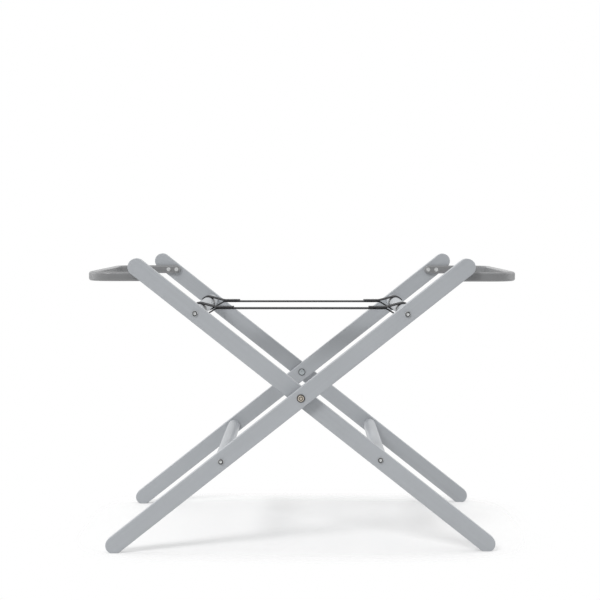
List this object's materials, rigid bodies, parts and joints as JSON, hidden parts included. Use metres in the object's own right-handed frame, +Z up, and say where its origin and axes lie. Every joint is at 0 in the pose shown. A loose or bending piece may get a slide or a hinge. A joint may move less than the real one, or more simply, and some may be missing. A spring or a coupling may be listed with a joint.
{
  "type": "moses basket stand",
  "caption": "Folding cross-frame stand for a baby's carrying basket: painted wooden legs on pivots, round rails, webbing straps and bent end hoops that hold the basket.",
  "frame": {"origin": "on the floor under the middle of the open stand", "axes": "+Z up, +X along the cradle's length towards the right hoop, +Y from the front crossing to the rear one"},
  "size_m": [0.744, 0.474, 0.5062],
  "materials": {
    "grey_paint": "satin light grey paint on wood",
    "hoop_paint": "satin grey paint on bent laminated wood",
    "zinc_steel": "zinc plated",
    "brass": "antique brass plated",
    "nylon": "natural",
    "webbing": "woven webbing"
  },
  "bodies": {
    "left_frame": {"left_front_leg": "grey_paint", "left_rear_leg": "grey_paint", "left_upper_rail": "grey_paint", "left_lower_rail": "grey_paint", "left_hoop": "hoop_paint", "left_rail_bolts": "zinc_steel", "left_rail_inserts": "brass", "left_hoop_screws": "zinc_steel", "front_pivot_bolt": "brass", "front_pivot_nut": "zinc_steel", "front_pivot_washer": "nylon", "rear_pivot_bolt": "brass", "rear_pivot_nut": "zinc_steel", "rear_pivot_washer": "nylon", "front_strap": "webbing", "rear_strap": "webbing"},
    "right_frame": {"right_front_leg": "grey_paint", "right_rear_leg": "grey_paint", "right_upper_rail": "grey_paint", "right_lower_rail": "grey_paint", "right_hoop": "hoop_paint", "right_rail_bolts": "zinc_steel", "right_rail_inserts": "brass", "right_hoop_screws": "zinc_steel"}
  },
  "joints": [
    {"name": "fold", "type": "hinge", "parent": "left_frame", "child": "right_frame", "pos_m": [0, 0, 0.26767], "axis": [0, -1, 0], "range_deg": [0, 93], "deforming": ["front_strap", "rear_strap"]}
  ]
}
